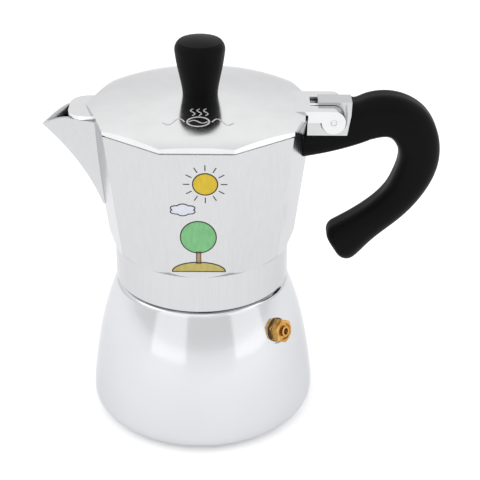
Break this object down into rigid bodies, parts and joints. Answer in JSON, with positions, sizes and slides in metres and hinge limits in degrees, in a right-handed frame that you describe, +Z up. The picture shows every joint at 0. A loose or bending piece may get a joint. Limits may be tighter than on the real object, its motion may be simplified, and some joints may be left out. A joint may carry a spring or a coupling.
{
  "type": "moka pot",
  "caption": "Stovetop moka pot: flared round boiler with safety valve, ten-sided collector with V spout, hinged lid with knob, C handle, coffee funnel, gasket and filter plate.",
  "frame": {"origin": "centre of the boiler's flat base", "axes": "+Z up through the lid knob, -X towards the spout, +X towards the handle, -Y is the decorated front facet"},
  "size_m": [0.166, 0.0994, 0.171],
  "materials": {
    "polished_aluminium": "polished",
    "satin_aluminium": "satin, fine vertical polish",
    "lid_aluminium": "polished satin",
    "black_plastic": "soft-touch matt",
    "brass": "turned",
    "steel": "bright",
    "rubber": "matt silicone",
    "fibre": "matt"
  },
  "bodies": {
    "boiler": {"boiler": "polished_aluminium", "valve_washer": "fibre", "valve_body": "brass", "valve_seat": "brass", "valve_spring": "steel", "funnel": "satin_aluminium", "funnel_plate": "satin_aluminium"},
    "valve_piston": {"valve_piston": "steel"},
    "seal_pack": {"gasket": "rubber", "filter_plate": "satin_aluminium"},
    "collector": {"collector": "satin_aluminium", "riser_column": "satin_aluminium", "handle": "black_plastic", "handle_screw": "steel", "hinge_pin": "steel"},
    "lid": {"lid": "lid_aluminium", "knob": "black_plastic", "knob_insert": "brass", "knob_washer": "steel", "knob_screw": "steel"}
  },
  "joints": [
    {"name": "valve_slide", "type": "slide", "parent": "boiler", "child": "valve_piston", "axis": [0.7572, -0.6132, 0.225], "range_m": [0, 0.0012], "stiffness_N_per_m": 100, "springref_m": -0.003, "deforming": ["valve_spring"]},
    {"name": "collector_lift", "type": "slide", "parent": "boiler", "child": "seal_pack", "axis": [0, 0, 1], "range_m": [0, 0.00526]},
    {"name": "collector_turn", "type": "hinge", "parent": "seal_pack", "child": "collector", "pos_m": [0, 0, 0], "axis": [0, 0, 1], "range_deg": [0, 630]},
    {"name": "lid_hinge", "type": "hinge", "parent": "collector", "child": "lid", "pos_m": [0.0546, 0, 0.139], "axis": [0, 1, 0], "range_deg": [0, 95]}
  ],
  "couplings": [
    {"joint": "collector_lift", "follows": "collector_turn", "m_per_rad": 0.00047746}
  ]
}
